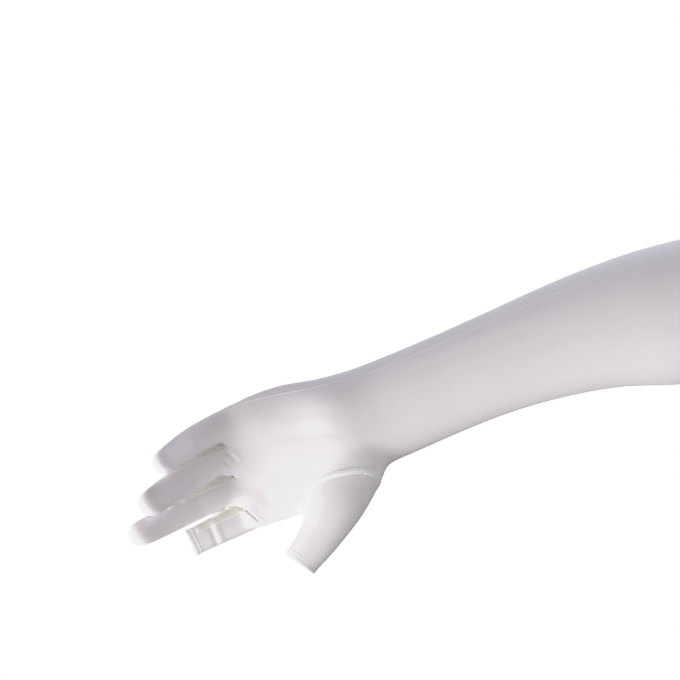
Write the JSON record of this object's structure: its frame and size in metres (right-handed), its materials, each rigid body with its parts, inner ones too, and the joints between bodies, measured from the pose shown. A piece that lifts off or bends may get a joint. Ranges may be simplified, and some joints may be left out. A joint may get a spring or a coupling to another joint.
{
  "type": "sun protection arm sleeve",
  "caption": "Long white stretch-knit sun sleeve with a glove hand for a left arm: set-in thumb, open hemmed thumb and index tips, closed outer fingers, side seam and plain cuff hem.",
  "frame": {"origin": "centre of the arm opening, in the plane of the cuff's end", "axes": "+X along the arm from the hand out through the arm opening; -Y out of the palm, +Y out of the back of the hand; +Z across the hand from the thumb side to the little finger side"},
  "size_m": [0.5019, 0.0892, 0.1282],
  "materials": {
    "white_knit": "fine smooth stretch knit, soft sheen",
    "strip_knit": "fine stretch knit, matt",
    "hem_knit": "folded stretch knit, matt",
    "seam_thread": "sewn overlock seam, matt thread"
  },
  "bodies": {
    "root": {"sleeve_body": "white_knit", "thumb": "white_knit", "side_strip_little_ring": "strip_knit", "side_strip_ring_middle": "strip_knit", "side_strip_middle_index": "strip_knit", "thumb_seam": "seam_thread", "side_seam": "seam_thread", "index_hem": "hem_knit", "thumb_hem": "hem_knit", "cuff_hem": "hem_knit"}
  },
  "joints": []
}
